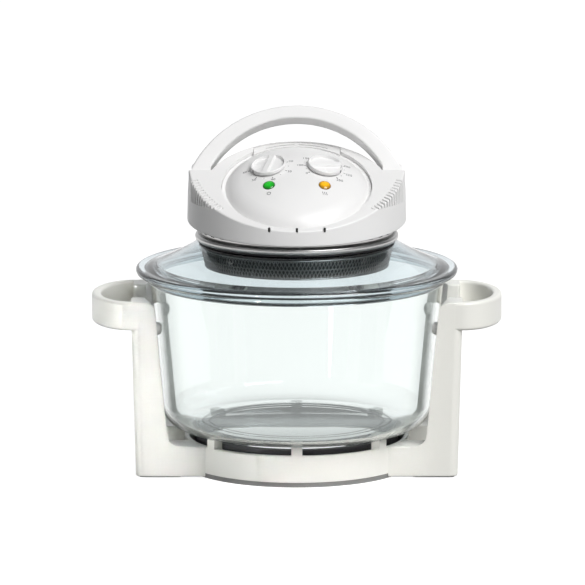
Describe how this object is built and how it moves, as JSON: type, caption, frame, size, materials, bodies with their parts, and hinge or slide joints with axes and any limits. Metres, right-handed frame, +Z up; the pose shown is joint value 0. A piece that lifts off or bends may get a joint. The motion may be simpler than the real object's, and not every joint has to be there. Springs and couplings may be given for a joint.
{
  "type": "halogen oven",
  "caption": "Countertop halogen oven: glass bowl in a two-handled stand, glass lid with a heater head, knobs and a folding carry handle.",
  "frame": {"origin": "on the ground, on the axis of the bowl, which is the middle of the whole object's footprint", "axes": "+Z up along the bowl's axis, controls face -Y, +X along the line through the two hand loops"},
  "size_m": [0.413, 0.3244, 0.3642],
  "materials": {
    "ivory_plastic": "satin",
    "white_plastic": "gloss",
    "panel_plastic": "gloss",
    "bowl_glass": "clear",
    "lid_glass": "clear",
    "lamp_glass": "clear",
    "grey_rubber": "matt",
    "black_rubber": "matt",
    "satin_steel": "satin",
    "bright_steel": "satin",
    "polished_aluminium": "polished",
    "dark_metal": "matt",
    "guard_mesh": "satin",
    "black_plastic": "matt",
    "heat_board": "matt",
    "ceramic_white": "matt",
    "tungsten": "matt",
    "green_lens": "gloss",
    "amber_lens": "gloss",
    "board_green": "satin",
    "brass_part": "satin",
    "grey_plastic": "satin",
    "motor_steel": "satin"
  },
  "bodies": {
    "stand": {"foot_ring": "grey_rubber", "base_ring": "ivory_plastic", "heat_shield_ring": "dark_metal", "right_frame": "ivory_plastic", "left_frame": "ivory_plastic", "frame_screws": "bright_steel", "bumper_pegs": "ivory_plastic", "rubber_pads": "grey_rubber"},
    "bowl": {"glass_bowl": "bowl_glass"},
    "lid": {"glass_lid": "lid_glass", "lid_seal": "black_rubber", "clamp_ring": "satin_steel", "vent_collar": "dark_metal", "lamp_guard": "guard_mesh", "reflector": "polished_aluminium", "insulation_board": "heat_board", "base_plate": "bright_steel", "guard_screws": "bright_steel", "halogen_tube": "lamp_glass", "filament": "tungsten", "lamp_caps": "ceramic_white", "lamp_clips": "bright_steel", "thermostat_bulb": "brass_part", "motor_bracket": "bright_steel", "fan_motor": "motor_steel", "head_housing": "white_plastic", "rear_vent_cover": "white_plastic", "control_panel": "panel_plastic", "power_lens": "green_lens", "heat_lens": "amber_lens", "indicator_board": "board_green", "timer_body": "grey_plastic", "thermostat_body": "grey_plastic", "microswitch": "black_plastic", "switch_bracket": "bright_steel", "cord_gland": "black_plastic", "terminal_block": "ceramic_white", "housing_screws": "bright_steel"},
    "handle": {"carry_handle": "white_plastic", "pivot_pins": "bright_steel", "switch_cam": "black_plastic"},
    "timer_dial": {"timer_knob": "panel_plastic", "timer_shaft": "brass_part"},
    "thermostat_dial": {"thermostat_knob": "panel_plastic", "thermostat_shaft": "brass_part"},
    "fan": {"hot_air_fan": "bright_steel", "fan_nut": "bright_steel", "motor_shaft": "bright_steel", "cooling_fan": "black_plastic", "motor_rotor": "motor_steel"},
    "plunger": {"switch_plunger": "black_plastic"}
  },
  "joints": [
    {"name": "bowl_lift", "type": "slide", "parent": "stand", "child": "bowl", "axis": [0, 0, 1], "range_m": [0, 0.18]},
    {"name": "lid_lift", "type": "slide", "parent": "bowl", "child": "lid", "axis": [0, 0, 1], "range_m": [0, 0.15]},
    {"name": "handle_fold", "type": "hinge", "parent": "lid", "child": "handle", "pos_m": [0, 0.0015, 0.2952], "axis": [-1, 0, 0], "range_deg": [0, 65]},
    {"name": "timer_turn", "type": "hinge", "parent": "lid", "child": "timer_dial", "pos_m": [-0.028, -0.03279, 0.30993], "axis": [0.1697, 0.3523, -0.9204], "range_deg": [-45, 255]},
    {"name": "thermostat_turn", "type": "hinge", "parent": "lid", "child": "thermostat_dial", "pos_m": [0.028, -0.03279, 0.30993], "axis": [-0.1697, 0.3523, -0.9204], "range_deg": [-200, 70]},
    {"name": "fan_spin", "type": "hinge", "parent": "lid", "child": "fan", "pos_m": [0, 0, 0.24], "axis": [0, 0, 1], "continuous": true},
    {"name": "plunger_press", "type": "slide", "parent": "lid", "child": "plunger", "axis": [0, 0, -1], "range_m": [0, 0.0032]}
  ],
  "couplings": [
    {"joint": "plunger_press", "follows": "handle_fold", "m_per_rad": 0.0026444}
  ]
}
